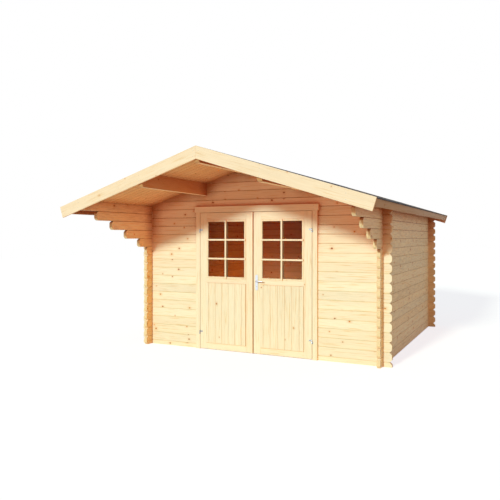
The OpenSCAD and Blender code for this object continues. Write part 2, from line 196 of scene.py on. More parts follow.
def spruce_group():
    """Spruce seen in board coordinates: growth lines, fibre and knots, with rings on the end grain."""
    tree = bpy.data.node_groups.new("spruce", "ShaderNodeTree")
    given, result = sockets(tree, {"Position": "Vector", "Board": "Float", "End": "Float", "Knots": "Float",
                                   "Variety": "Float", "Flecks": "Float"},
                            {"Color": "Color", "Roughness": "Float", "Height": "Float"})
    wires = Wiring(tree)
    chance = wires.node("ShaderNodeTexWhiteNoise", {"W": given["Board"]}, noise_dimensions="1D").outputs
    spot = wires.vector("ADD", given["Position"], wires.vector("MULTIPLY", chance["Color"], board_shift))
    along_across = wires.node("ShaderNodeSeparateXYZ", {"Vector": spot}).outputs
    draws = wires.node("ShaderNodeSeparateColor", {"Color": chance["Color"]}).outputs

    # Knots sit in loose cells along the board, and the growth lines bend round them
    cells = wires.vector("MULTIPLY", spot, (1 / knot_cell[0], 1 / knot_cell[1], 0.0))
    found = wires.node("ShaderNodeTexVoronoi", {"Vector": cells, "Scale": 1.0},
                       voronoi_dimensions="2D").outputs
    away = wires.vector("MULTIPLY", wires.vector("SUBTRACT", cells, found["Position"]),
                        (knot_stretch * knot_cell[0], knot_cell[1], 0.0))
    distance = wires.vector("LENGTH", away)
    kinds = wires.node("ShaderNodeSeparateColor", {"Color": found["Color"]}).outputs
    present = wires.math("LESS_THAN", kinds["Red"], given["Knots"])
    radius = wires.math("MULTIPLY", present, wires.step(kinds["Green"], 0.0, 1.0, *knot_sizes, "LINEAR"))
    reach = wires.math("ADD", wires.math("MULTIPLY", radius, halo_spread), 0.0001)
    ratio = wires.math("DIVIDE", distance, reach)
    halo = wires.math("EXPONENT", wires.math("MULTIPLY", wires.math("MULTIPLY", ratio, ratio), -1.0))
    core, heart = (wires.step(distance, *[wires.math("MULTIPLY", radius, share) for share in rim])
                   for rim in (core_rim, heart_rim))

    # Growth lines wander slowly along the board
    slow, fibre, fleck = (
        wires.math("SUBTRACT", wires.noise(wires.vector("MULTIPLY", spot, grain), detail), 0.5)
        for grain, detail in ((slow_grain, 2.0), (fibre_grain, 3.0), (fleck_grain, 3.0))
    )
    streak = wires.step(wires.noise(wires.vector("MULTIPLY", spot, streak_grain), 3.0), *streak_levels)
    across = wires.math("DIVIDE", along_across["Y"], ring_spacing)
    through = wires.math("MULTIPLY", along_across["Z"], ring_slope)
    wander = wires.math("MULTIPLY_ADD", slow, ring_wander, wires.math("MULTIPLY", halo, ring_bend))
    phase = wires.math("ADD", wires.math("ADD", across, through), wander)
    late = wires.math("POWER", wires.math("FRACT", phase), late_fade)

    # Face colours, each board a little lighter, darker or redder than the next
    face = wires.mix(wires.math("MULTIPLY", late, late_share), linear(pale_wood), linear(late_wood))
    redness = wires.math("MULTIPLY", wires.step(draws["Green"], *red_boards), given["Variety"])
    face = wires.mix(redness, face, linear(heart_wood))
    face = wires.mix(wires.math("MULTIPLY", streak, streak_share), face, linear(streak_wood))
    change = wires.math("MULTIPLY", wires.math("SUBTRACT", draws["Blue"], 0.5), given["Variety"])
    shade = 1.0
    for part, share in ((change, board_tone), (slow, slow_tone), (fibre, fibre_tone),
                        (fleck, given["Flecks"])):
        shade = wires.math("MULTIPLY_ADD", part, share, shade)
    grey = wires.node("ShaderNodeCombineXYZ", {0: shade, 1: shade, 2: shade}).outputs[0]
    face = wires.vector("MULTIPLY", face, grey)
    face = wires.mix(wires.math("MULTIPLY", halo, halo_share), face, linear(knot_halo))
    live = wires.step(kinds["Blue"], *live_knots)
    face = wires.mix(core, face, wires.mix(live, linear(knot_bark), linear(knot_halo)))
    face = wires.mix(heart, face, wires.mix(live, linear(knot_wood), linear(knot_amber)))

    # Rings round the pith on the end grain
    pith = wires.vector("MULTIPLY", wires.vector("SUBTRACT", chance["Color"], (0.5, 0.5, 0.5)), pith_drift)
    flat = wires.vector("MULTIPLY", wires.vector("SUBTRACT", given["Position"], pith), (0.0, 1.0, 1.0))
    rings = wires.math("FRACT", wires.math("MULTIPLY_ADD", wires.vector("LENGTH", flat), end_rings, wander))
    ring_share = wires.math("MULTIPLY", wires.math("POWER", rings, 2.0), end_ring_share)
    end = wires.mix(ring_share, linear(end_wood), linear(end_ring))

    wires.fill(result["Color"], wires.mix(given["End"], face, end))
    wires.fill(result["Roughness"], wires.step(fibre, *fibre_roughness))
    relief = wires.math("MULTIPLY_ADD", fibre, fibre_relief, wires.math("MULTIPLY", late, late_relief))
    wires.fill(result["Height"], wires.math("MULTIPLY_ADD", core, knot_relief, relief))
    return tree


spruce = spruce_group()


def spruce_material(name, along, across, through, tilt=0.0, course_start=None, first_board=0, knots=0.3,
                    variety=1.0, flecks=log_flecks, corners=1.0, stain_and_painted_light=(1.0, 1.0, 1.0), joint=joint_tint):
    """Spruce with its grain along one object axis; boards are log courses or the mesh's own board numbers."""
    material, wires, shader = new_paint(name)
    texture = wires.node("ShaderNodeTexCoord").outputs
    turned = [wires.node("ShaderNodeMapping", {"Vector": texture[kind], "Rotation": (0.0, tilt, 0.0)})
              for kind in ("Object", "Normal")]
    spot, facing = (wires.node("ShaderNodeSeparateXYZ", {"Vector": mapping.outputs["Vector"]}).outputs
                    for mapping in turned)
    width = spot[across]
    if course_start is None:
        board = wires.node("ShaderNodeAttribute", attribute_name="board").outputs["Fac"]
    else:
        course = wires.math("DIVIDE", wires.math("SUBTRACT", spot[across], course_start), log_height)
        width = wires.math("MULTIPLY", wires.math("SUBTRACT", wires.math("FRACT", course), 0.5), log_height)
        side = wires.math("MULTIPLY", wires.math("SIGN", spot[through]), far_face_boards)
        board = wires.math("ADD", wires.math("FLOOR", course), side)
    position = wires.node("ShaderNodeCombineXYZ", {0: spot[along], 1: width, 2: spot[through]}).outputs[0]
    end = wires.step(wires.math("ABSOLUTE", facing[along]), *end_facing)
    wood = wires.node("ShaderNodeGroup", node_tree=spruce)
    for key, value in {"Position": position, "Board": wires.math("ADD", board, first_board), "End": end,
                       "Knots": knots, "Variety": variety, "Flecks": flecks}.items():
        wires.fill(wood.inputs[key], value)
    # The stain multiplies the colour: a tone of the wood on some timbers, painted shade or painted light on
    # others
    color = wires.vector("MULTIPLY", wood.outputs["Color"], stain_and_painted_light)
    if course_start is not None:
        reach = wires.math("SUBTRACT", log_height / 2, wires.math("ABSOLUTE", width))
        color = wires.mix(wires.step(reach, joint_reach, 0.0), color, wires.vector("MULTIPLY", color, joint))
    # Painted shade: corners and contact lines between timbers, high on the walls and under the roof, are
    # darkened where ambient occlusion finds them
    clear = wires.node("ShaderNodeAmbientOcclusion", {"Distance": corner_shade_reach}, samples=2).outputs["AO"]
    height = wires.node("ShaderNodeSeparateXYZ", {"Vector": texture["Object"]}).outputs["Z"]
    sheltered = wires.math("MULTIPLY", wires.step(height, *corner_shade_from), corners)
    corner_shade_share = wires.math("MULTIPLY", wires.math("SUBTRACT", 1.0, clear), sheltered)
    color = wires.mix(corner_shade_share, color, wires.vector("MULTIPLY", color, corner_shade_tint))
    # Light that has bounced between timbers is warmer than the timber looks, most of all under the roof
    bounced = wires.node("ShaderNodeLightPath").outputs["Is Diffuse Ray"]
    warmth = wires.mix(wires.step(height, *bounce_from), low_bounce_tint, bounce_tint)
    color = wires.mix(bounced, color, wires.vector("MULTIPLY", color, warmth))
    wires.fill(shader.inputs["Base Color"], color)
    wires.fill(shader.inputs["Roughness"], wood.outputs["Roughness"])
    bump = wires.node("ShaderNodeBump", {"Height": wood.outputs["Height"], **wood_relief})
    wires.fill(shader.inputs["Normal"], bump.outputs["Normal"])
    shader.inputs["Specular IOR Level"].default_value = wood_gloss
    return material


def dress(node, material):
    """Gives a CAD node a material."""
    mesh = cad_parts[node].data
    mesh.materials.clear()
    mesh.materials.append(material)


cross_log_spruce = spruce_material("cross log spruce", "X", "Z", "Y", course_start=-log_height / 2,
                                   first_board=31, knots=log_knots, corners=log_corner_shade)
side_log_spruce = spruce_material("side log spruce", "Y", "Z", "X", course_start=0.0, first_board=200,
                                  knots=log_knots, flecks=side_flecks, corners=side_corner_shade,
                                  joint=side_joint_tint)
for wall in ("front_wall_left", "front_wall_right", "front_gable", "back_wall", "back_gable"):
    dress(wall, cross_log_spruce)
for wall in ("left_wall", "right_wall", "left_corbel_logs", "right_corbel_logs"):
    dress(wall, side_log_spruce)


# Purlins
# Three planed beams carry the roof from the front edge to the back, let into the gable logs.
# Their lower ends are rounded, their long lower edges are chamfered and the rest are eased by the plane.

planed_edge = 0.0025
weld_reach = 1e-5
flat_within = math.radians(1.0)
sharp_edge = math.radians(30.0)
long_edge = 1.0
purlin_edge = 0.003
# Painted shade: the purlins are coloured much darker and redder than the logs
purlin_shade_tint = (0.71, 0.51, 0.38)
purlin_chamfer = 0.022
# Share of the painted corner shade on the purlins
purlin_corner_shade = 1.6
# Painted light: the chamfers on the purlins' lower edges are made lighter than the timber's own colour, as if
# lit from below
chamfer_painted_light = (1.3, 1.42, 1.55)
boards_made = [1000]


def number_boards(shape):
    """Numbers each separate board of a mesh in its attribute, for its own grain."""
    layer = shape.verts.layers.float.new("board")
    waiting = set(shape.verts)
    for first in shape.verts:
        if first not in waiting:
            continue
        boards_made[0] += 1
        waiting.discard(first)
        reached = [first]
        while reached:
            vertex = reached.pop()
            vertex[layer] = boards_made[0]
            joined = {edge.other_vert(vertex) for edge in vertex.link_edges} & waiting
            waiting -= joined
            reached.extend(joined)


def finish_mesh(shape, name, material):
    """Turns a built shape into a mesh with outward faces and one material."""
    bmesh.ops.recalc_face_normals(shape, faces=shape.faces)
    mesh = bpy.data.meshes.new(name)
    shape.to_mesh(mesh)
    shape.free()
    mesh.materials.append(material)
    return mesh


def ease_edges(shape, edges, ease, segments=2):
    """Rounds some edges of a shape."""
    bmesh.ops.bevel(shape, geom=edges, offset=ease, segments=segments, profile=0.5, affect="EDGES",
                    clamp_overlap=True)


def softened(node, material, ease=planed_edge, segments=2, lower_chamfer=0.0):
    """Copy of a CAD node with its edges eased as planed timber has them.

    Its long lower edges may be chamfered, with the mesh's second material on them."""
    shape = bmesh.new()
    shape.from_mesh(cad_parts[node].data)
    bmesh.ops.remove_doubles(shape, verts=shape.verts, dist=weld_reach)
    bmesh.ops.dissolve_limit(shape, angle_limit=flat_within, verts=shape.verts, edges=shape.edges)
    if lower_chamfer:
        foot = min(vertex.co.z for vertex in shape.verts)
        lower = [e for e in shape.edges if max(v.co.z for v in e.verts) < foot + planed_edge
                 and e.calc_length() > long_edge]
        bmesh.ops.bevel(shape, geom=lower, offset=lower_chamfer, segments=1, affect="EDGES", material=1)
    sharp = [e for e in shape.edges if e.is_manifold and e.calc_face_angle() > sharp_edge]
    ease_edges(shape, sharp, ease, segments)
    number_boards(shape)
    return finish_mesh(shape, node, material)


def place(name, mesh, body, slot, *stands_for):
    """Puts a finished mesh on its body, in place of CAD nodes where it stands for some."""
    piece = bpy.data.objects.new(name, mesh)
    scene.collection.objects.link(piece)
    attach(piece, body)
    if stands_for:
        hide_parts(*stands_for)


purlin_spruce = spruce_material("purlin spruce", "Y", "Z", "X", corners=purlin_corner_shade, stain_and_painted_light=purlin_shade_tint)
# The chamfers carry painted light
painted_light_chamfer_spruce = spruce_material("purlin chamfer painted light", "Y", "Z", "X", knots=0.0, corners=0.0,
                                 stain_and_painted_light=chamfer_painted_light)
for purlin in ("ridge_purlin", "left_purlin", "right_purlin"):
    beam = softened(purlin, purlin_spruce, purlin_edge, 3, purlin_chamfer)
    beam.materials.append(painted_light_chamfer_spruce)
    place("planed_" + purlin, beam, "cabin", "roof_pine", purlin)


# Roof boards
# Tongued and grooved boards run from the ridge down to the eaves and are nailed to the purlins.
# From below each joint shows as a small V between two bevelled edges.

roof_pitch = math.radians(17.5)
ridge_z = cad_high.z
roof_low, roof_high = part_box("right_roof_boards")
board_top = 0.0041
board_thick = 0.02
board_count = 54
board_cover = (roof_high.y - roof_low.y) / board_count
board_gap = 0.001
board_bevel = 0.008
ridge_gap = 0.0005
eave_gap = 0.006
slope_boards = 100
first_roof_board = 2000.0
# The roof boards are coloured darker and redder than the logs
roof_darkening = (0.91, 0.735, 0.59)
roof_variety = 2.2
roof_knots = 0.6
# Share of the painted corner shade on the roof boards
roof_corner_shade = 1.5


def on_slope(side, along, depth, y):
    """Point on a roof slope: side 1 is right, along is from the ridge, depth is below the felt."""
    return Vector((side * (along * math.cos(roof_pitch) - depth * math.sin(roof_pitch)), y,
                   ridge_z - along * math.sin(roof_pitch) - depth * math.cos(roof_pitch)))


def drawn_out(sections):
    """Closed shape through a list of like sections, each a ring of points."""
    shape = bmesh.new()
    rings = [[shape.verts.new(point) for point in section] for section in sections]
    for ring, after in zip(rings, rings[1:]):
        for i in range(len(ring)):
            j = (i + 1) % len(ring)
            shape.faces.new((ring[i], ring[j], after[j], after[i]))
    shape.faces.new(rings[0])
    shape.faces.new(reversed(rings[-1]))
    return shape


def row_tree():
    """Sets copies of a piece in a row, each with its own board number."""
    tree = bpy.data.node_groups.new("row of boards", "GeometryNodeTree")
    given, result = sockets(tree, {"Piece": "Geometry", "Count": "Int", "Step": "Vector",
                                   "First board": "Float", "Finish": "Material"}, {"Row": "Geometry"})
    wires = Wiring(tree)
    line = wires.node("GeometryNodeMeshLine", {"Count": given["Count"], "Offset": given["Step"]}).outputs[0]
    copies = wires.node("GeometryNodeInstanceOnPoints",
                        {"Points": line, "Instance": given["Piece"]}).outputs[0]
    number = wires.math("ADD", wires.node("GeometryNodeInputIndex").outputs[0], given["First board"])
    numbered = wires.node("GeometryNodeStoreNamedAttribute",
                          {"Geometry": copies, "Name": "board", "Value": number},
                          data_type="FLOAT", domain="INSTANCE").outputs[0]
    real = wires.node("GeometryNodeRealizeInstances", {"Geometry": numbered}).outputs[0]
    finished = wires.node("GeometryNodeSetMaterial", {0: real, "Material": given["Finish"]})
    wires.fill(result["Row"], finished.outputs[0])
    return tree


def run_tree(tree, mesh, name, **values):
    """Plain mesh that a geometry tree makes from a mesh, with its named inputs set."""
    maker = bpy.data.objects.new(name, mesh)
    scene.collection.objects.link(maker)
    modifier = maker.modifiers.new("tree", "NODES")
    modifier.node_group = tree
    for socket in tree.interface.items_tree:
        if socket.in_out == "INPUT" and socket.name in values:
            modifier[socket.identifier] = values[socket.name]
    evaluated = maker.evaluated_get(bpy.context.evaluated_depsgraph_get())
    made = bpy.data.meshes.new_from_object(evaluated)
    made.name = name
    bpy.data.objects.remove(maker)
    return made


row_of_boards = row_tree()
for side, hand in hands:
    roof_spruce = spruce_material(hand + " roof spruce", "X", "Y", "Z", tilt=-side * roof_pitch,
                                  knots=roof_knots, variety=roof_variety, corners=roof_corner_shade,
                                  stain_and_painted_light=roof_darkening)
    y0 = roof_low.y + board_gap / 2
    y1 = roof_low.y + board_cover - board_gap / 2
    foot = board_top + board_thick
    profile = [(y0, board_top), (y1, board_top), (y1, foot - board_bevel), (y1 - board_bevel, foot),
               (y0 + board_bevel, foot), (y0, foot - board_bevel)]
    eave_end = (roof_high.x + foot * math.sin(roof_pitch)) / math.cos(roof_pitch) - eave_gap
    board = drawn_out([
        [on_slope(side, depth * math.tan(roof_pitch) + ridge_gap, depth, y) for y, depth in profile],
        [on_slope(side, eave_end, depth, y) for y, depth in profile],
    ])
    one_board = finish_mesh(board, "roof board", roof_spruce)
    boards = run_tree(row_of_boards, one_board, hand + "_roof_board_row", Count=board_count,
                      Step=(0.0, board_cover, 0.0), Finish=roof_spruce,
                      **{"First board": first_roof_board + slope_boards * side})
    place(hand + "_roof_board_row", boards, "cabin", "roof_pine", hand + "_roof_boards")


# Roofing felt
# Mineral felt from the roll is laid along the eaves and lapped towards the ridge, with a cap over it.
# Galvanised clout nails hold every lap and the lip that is turned down over the eave board.

felt_thick = 0.002
lap_from_ridge = 1.24
lap_width = 0.09
cap_half = 0.24
lip_drop = 0.012
lip_bend = 0.003
lap_rise = 0.02
lap_fall = 0.001
upper_steps = [0.25 * i for i in range(1, 5)]
lower_steps = [0.2 * i for i in range(1, 4)]
felt_clear = 0.0001
felt_loose = 0.0012
felt_waves = (3.1, 2.3, 4.0)
felt_columns = 64
granule_scale = 420.0
granule_dark = (30, 27, 30)
granule_light = (68, 64, 69)
felt_patches = (0.3, 0.7, 0.6, 1.0)
felt_roughness = (0.82, 0.96)
felt_relief = {"Strength": 0.5, "Distance": 0.0015}
drawn_grain = (900.0, 900.0, 60.0)
mottle_scale = 90.0
mottle_dark = 0.82
steel_relief = {"Strength": 0.12, "Distance": 0.0003}
nail_radius = 0.006
nail_height = 0.0022
nail_lean = 0.06
nail_margin = 0.03
lap_spacing = 0.12
lip_spacing = 0.2
lip_nail_inset = 0.04
zinc_grey = (176, 179, 184)


def felt_material():
    """Bitumen felt under a close coat of slate granules."""
    material, wires, shader = new_paint("slate felt")
    place_on = wires.node("ShaderNodeTexCoord").outputs["Object"]
    grains = wires.node("ShaderNodeTexVoronoi", {"Vector": place_on, "Scale": granule_scale}).outputs
    tint = wires.node("ShaderNodeSeparateColor", {"Color": grains["Color"]}).outputs["Red"]
    patches = wires.noise(place_on, 3.0, 2.2)
    share = wires.math("MULTIPLY", wires.math("POWER", tint, 2.0), wires.step(patches, *felt_patches))
    wires.fill(shader.inputs["Base Color"], wires.mix(share, linear(granule_dark), linear(granule_light)))
    wires.fill(shader.inputs["Roughness"], wires.step(tint, 0.0, 1.0, *felt_roughness))
    bump = wires.node("ShaderNodeBump", {"Height": grains["Distance"], **felt_relief})
    wires.fill(shader.inputs["Normal"], bump.outputs["Normal"])
    return material


def steel_material(name, screen, smooth, dull):
    """Metal with fine drawn scratches and a mottled sheen."""
    material, wires, shader = new_paint(name)
    place_on = wires.node("ShaderNodeTexCoord").outputs["Object"]
    drawn = wires.noise(wires.vector("MULTIPLY", place_on, drawn_grain), 3.0)
    clouds = wires.noise(place_on, 2.0, mottle_scale)
    dark = tuple(mottle_dark * value for value in screen)
    wires.fill(shader.inputs["Base Color"], wires.mix(clouds, linear(dark), linear(screen)))
    wires.fill(shader.inputs["Roughness"], wires.step(drawn, 0.3, 0.7, smooth, dull))
    bump = wires.node("ShaderNodeBump", {"Height": drawn, **steel_relief})
    wires.fill(shader.inputs["Normal"], bump.outputs["Normal"])
    shader.inputs["Metallic"].default_value = 1.0
    return material


def nail_tree():
    """Sets a low domed nail head on each point of a mesh, facing one way."""
    tree = bpy.data.node_groups.new("nail heads", "GeometryNodeTree")
    given, result = sockets(tree, {"Places": "Geometry", "Radius": "Float", "Height": "Float",
                                   "Facing": "Vector", "Seed": "Int", "Finish": "Material"},
                            {"Nails": "Geometry"})
    wires = Wiring(tree)
    ball = wires.node("GeometryNodeMeshUVSphere",
                      {"Segments": 10, "Rings": 6, "Radius": given["Radius"]}).outputs[0]
    squash = wires.math("DIVIDE", given["Height"], given["Radius"])
    flat = wires.node("ShaderNodeCombineXYZ", {0: 1.0, 1: 1.0, 2: squash}).outputs[0]
    head = wires.node("GeometryNodeTransform", {"Geometry": ball, "Scale": flat}).outputs[0]
    turn = wires.node("FunctionNodeRandomValue", {2: -nail_lean, 3: nail_lean, "Seed": given["Seed"]},
                      data_type="FLOAT").outputs[1]
    lean = wires.node("ShaderNodeCombineXYZ", {0: turn, 1: turn, 2: turn}).outputs[0]
    aim = wires.vector("ADD", given["Facing"], lean)
    upright = wires.node("FunctionNodeAlignRotationToVector", {"Vector": aim}, axis="Z").outputs[0]
    points = wires.node("GeometryNodeMeshToPoints", {"Mesh": given["Places"]}).outputs[0]
    nails = wires.node("GeometryNodeInstanceOnPoints",
                       {"Points": points, "Instance": head, "Rotation": upright}).outputs[0]
    real = wires.node("GeometryNodeRealizeInstances", {"Geometry": nails}).outputs[0]
    finished = wires.node("GeometryNodeSetMaterial", {0: real, "Material": given["Finish"]})
    wires.fill(result["Nails"], finished.outputs[0])
    return tree


nail_heads = nail_tree()
zinc = steel_material("galvanised zinc", zinc_grey, 0.38, 0.55)


def drive_nails(name, points, facing, radius, height, seed, body="cabin"):
    """Puts nail or screw heads on a body at the given points."""
    mesh = bpy.data.meshes.new(name)
    mesh.from_pydata([tuple(point) for point in points], [], [])
    heads = run_tree(nail_heads, mesh, name, Radius=radius, Height=height, Facing=tuple(facing), Seed=seed,
                     Finish=zinc)
    place(name, heads, body, "steel")


felt_low, felt_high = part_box("right_roof_felt")
felt_ys = [felt_low.y + (felt_high.y - felt_low.y) * column / felt_columns
           for column in range(felt_columns + 1)]


def felt_sheet(side, outline):
    """Felt with a given outline of slope points, laid slightly uneven."""
    sections = []
    for y in felt_ys:
        ring = []
        for along, depth, free in outline:
            waves = Vector(value * wave for value, wave in zip((along, y, side), felt_waves))
            lift = felt_loose * free * noise.noise(waves)
            ring.append(on_slope(side, along, depth + lift, y))
        sections.append(ring)
    return drawn_out(sections)


slate_felt = felt_material()
lip_along = (felt_high.x + lip_drop * math.sin(roof_pitch)) / math.cos(roof_pitch)
under = board_top - felt_clear
laid = under - felt_thick
lapped = laid - felt_thick
lap_end = lap_from_ridge + lap_width
for side, hand in hands:
    outline = [(laid * math.tan(roof_pitch), laid, 0.0)]
    outline += [(along, laid, 1.0) for along in upper_steps]
    outline += [(lap_from_ridge, laid, 0.3), (lap_from_ridge + lap_rise, lapped, 0.3),
                (lap_end - lap_fall, lapped, 0.3), (lap_end, laid, 0.3)]
    outline += [(lap_end + step, laid, 1.0) for step in lower_steps]
    outline += [(lip_along - lip_bend, laid, 0.0), (lip_along, laid + lip_bend, 0.0),
                (lip_along, lip_drop, 0.0), (lip_along - felt_thick, lip_drop, 0.0),
                (lip_along - felt_thick, under, 0.0), (under * math.tan(roof_pitch), under, 0.0)]
    sheet = felt_sheet(side, outline)
    place(hand + "_felt_strips", finish_mesh(sheet, hand + " felt", slate_felt), "cabin", "felt",
          hand + "_roof_felt")

    up = on_slope(side, 0.0, -1.0, 0.0) - on_slope(side, 0.0, 0.0, 0.0)
    spots = []
    nailed = felt_high.y - felt_low.y - 2 * nail_margin
    for along, depth, spacing in ((lap_end - nail_margin, lapped, lap_spacing),
                                  (cap_half - nail_margin, lapped, lap_spacing),
                                  (lip_along - lip_nail_inset, laid, lip_spacing)):
        count = round(nailed / spacing)
        run = nailed / count
        spots += [on_slope(side, along, depth, felt_low.y + nail_margin + run * i) for i in range(count + 1)]
    drive_nails(hand + "_felt_nails", spots, up, nail_radius, nail_height, 3)

cap_run = (-cap_half, 0.0, cap_half)
cap_bend = [(along, laid) for along in cap_run] + [(along, lapped) for along in reversed(cap_run)]
cap = drawn_out([[on_slope(math.copysign(1, along), abs(along) or depth * math.tan(roof_pitch), depth, y)
                  for along, depth in cap_bend] for y in felt_ys])
place("ridge_felt_cap", finish_mesh(cap, "ridge felt cap", slate_felt), "cabin", "felt")


# Eave and barge boards
# Planed boards close the ends of the roof boards along the eaves and cover the roof's edges at both gables.
# The barge boards meet in a plumb joint at the ridge and are nailed to the purlins and the top logs.

barge_nail_radius = 0.0032
barge_nail_height = 0.0008
barge_edge = 0.0012
# The eave boards are coloured much darker and redder than the other timber
eave_darkening = (0.55, 0.4, 0.34)
barge_stain = (1.02, 0.905, 0.91)
barge_depths = (0.045, 0.105)
barge_places = (0.035, 0.79, 1.73)

eave_spruce = spruce_material("eave spruce", "Y", "Z", "X", stain_and_painted_light=eave_darkening)
for eave in ("left_eave_board", "right_eave_board"):
    place("planed_" + eave, softened(eave, eave_spruce), "cabin", "trim_pine", eave)
for side, hand in hands:
    barge_spruce = spruce_material(hand + " barge spruce", "X", "Z", "Y", tilt=-side * roof_pitch,
                                   stain_and_painted_light=barge_stain)
    for end, out in (("front", -1), ("back", 1)):
        node = end + "_" + hand + "_barge_board"
        place("planed_" + node, softened(node, barge_spruce, barge_edge), "cabin", "trim_pine", node)
        low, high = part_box(node)
        face = low.y if out < 0 else high.y
        spots = [on_slope(side, x / math.cos(roof_pitch) + depth * math.tan(roof_pitch), depth, face)
                 for x in barge_places for depth in barge_depths]
        drive_nails(node + "_nails", spots, (0.0, out, 0.0), barge_nail_radius, barge_nail_height, 5)


# Door frame
# Grooved posts slide over the ends of the logs beside the doorway, and a head lies across them.
# Planed casings, stop battens and a low threshold are nailed on round the opening.

casing_nail_radius = 0.0026
casing_nail_height = 0.0007
casing_nail_inset = 0.018
casing_nail_rows = [0.12 + 0.44 * i for i in range(5)]
head_nail_columns = (-0.86, -0.3, 0.3, 0.86)
head_nail_rises = (0.02, 0.065)
joinery_knots = 0.03
joinery_variety = 0.35
# Share of the painted corner shade on the joinery
joinery_corner_shade = 0.35

joinery_wood = {"knots": joinery_knots, "variety": joinery_variety, "corners": joinery_corner_shade}
upright_spruce = spruce_material("upright joinery spruce", "Z", "X", "Y", **joinery_wood)
level_spruce = spruce_material("level joinery spruce", "X", "Z", "Y", **joinery_wood)
for node, wood in (("left_door_post", upright_spruce), ("right_door_post", upright_spruce),
                   ("door_stops", upright_spruce), ("door_head", level_spruce),
                   ("head_casings", level_spruce), ("threshold", level_spruce)):
    place("planed_" + node, softened(node, wood), "cabin", "joinery_pine", node)

head_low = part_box("head_casings")[0]
post_low, post_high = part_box("right_door_post")
casing_nail_x = post_high.x - casing_nail_inset
spots = [Vector((side * casing_nail_x, post_low.y, z)) for side in (-1, 1) for z in casing_nail_rows]
spots += [Vector((x, head_low.y, head_low.z + rise)) for x in head_nail_columns for rise in head_nail_rises]
drive_nails("casing_nails", spots, (0.0, -1.0, 0.0), casing_nail_radius, casing_nail_height, 7)


# Door leaves
# Each leaf is a frame of stiles and rails round a boarded panel below and a glazed light above.
# Crossed glazing bars are planted over the pane and its beads. The panel boards are tongued and grooved,
# and the first and last of them are ripped to fit between the stiles.

leaf_edge = 0.002
panel_boards = 7
panel_covers = 5.96
panel_first = 0.39
panel_bevel = 0.004
panel_end_bevel = 0.006
panel_gap = 0.0005
first_panel_board = 500.0
leaf_boards = 20
panel_knots = 0.2
panel_stain = (0.97, 0.98, 0.99)
bead_stain = (0.97, 0.94, 0.88)
strip_edge = 0.006
bar_width = 0.023
bar_past = 0.022
bar_proud = 0.018
bar_ease = 0.003
bar_fillet_ease = 0.001
bead_width = 0.025
pane_rows = 3
glass_tint = (232, 238, 236)
glass_clear = (244, 248, 247)
glass_bend = 1.1
glass_shade = (180, 90, 30)


def planed_block(shape, low, high, ease):
    """Adds a block with eased edges to a shape."""
    block = bmesh.ops.create_cube(shape, size=1.0)["verts"]
    middle = (Vector(low) + Vector(high)) / 2
    size = Vector(high) - Vector(low)
    for vertex in block:
        vertex.co = Vector(c * s for c, s in zip(vertex.co, size)) + middle
    edges = list({edge for vertex in block for edge in vertex.link_edges})
    ease_edges(shape, edges, ease)


def rip(mesh, low_x, high_x):
    """Cuts a row of upright boards off at two sides and closes the cuts."""
    shape = bmesh.new()
    shape.from_mesh(mesh)
    for x, out in ((low_x, -1.0), (high_x, 1.0)):
        everything = shape.verts[:] + shape.edges[:] + shape.faces[:]
        bmesh.ops.bisect_plane(shape, geom=everything, plane_co=(x, 0.0, 0.0), plane_no=(out, 0.0, 0.0),
                               clear_outer=True)
        bmesh.ops.holes_fill(shape, edges=[edge for edge in shape.edges if edge.is_boundary])
    bmesh.ops.recalc_face_normals(shape, faces=shape.faces)
    shape.to_mesh(mesh)
    shape.free()


def glass_material():
    """Clear float glass that lets the light of the lamps through."""
    material, wires, shader = new_paint("window glass")
    place_on = wires.node("ShaderNodeTexCoord").outputs["Object"]
    smears = wires.noise(place_on, 3.0, 3.0)
    wires.fill(shader.inputs["Roughness"], wires.step(smears, 0.35, 0.75, 0.0, 0.05))
    wires.fill(shader.inputs["Base Color"], wires.mix(smears, linear(glass_tint), linear(glass_clear)))
    shader.inputs["Transmission Weight"].default_value = 1.0
    shader.inputs["IOR"].default_value = glass_bend
    clear = wires.node("ShaderNodeBsdfTransparent", {"Color": linear(glass_shade)})
    rays = wires.node("ShaderNodeLightPath")
    either = wires.node("ShaderNodeMixShader", {0: rays.outputs["Is Shadow Ray"], 1: shader.outputs["BSDF"],
                                                2: clear.outputs["BSDF"]})
    wires.fill(wires.tree.nodes["Material Output"].inputs["Surface"], either.outputs["Shader"])
    return material


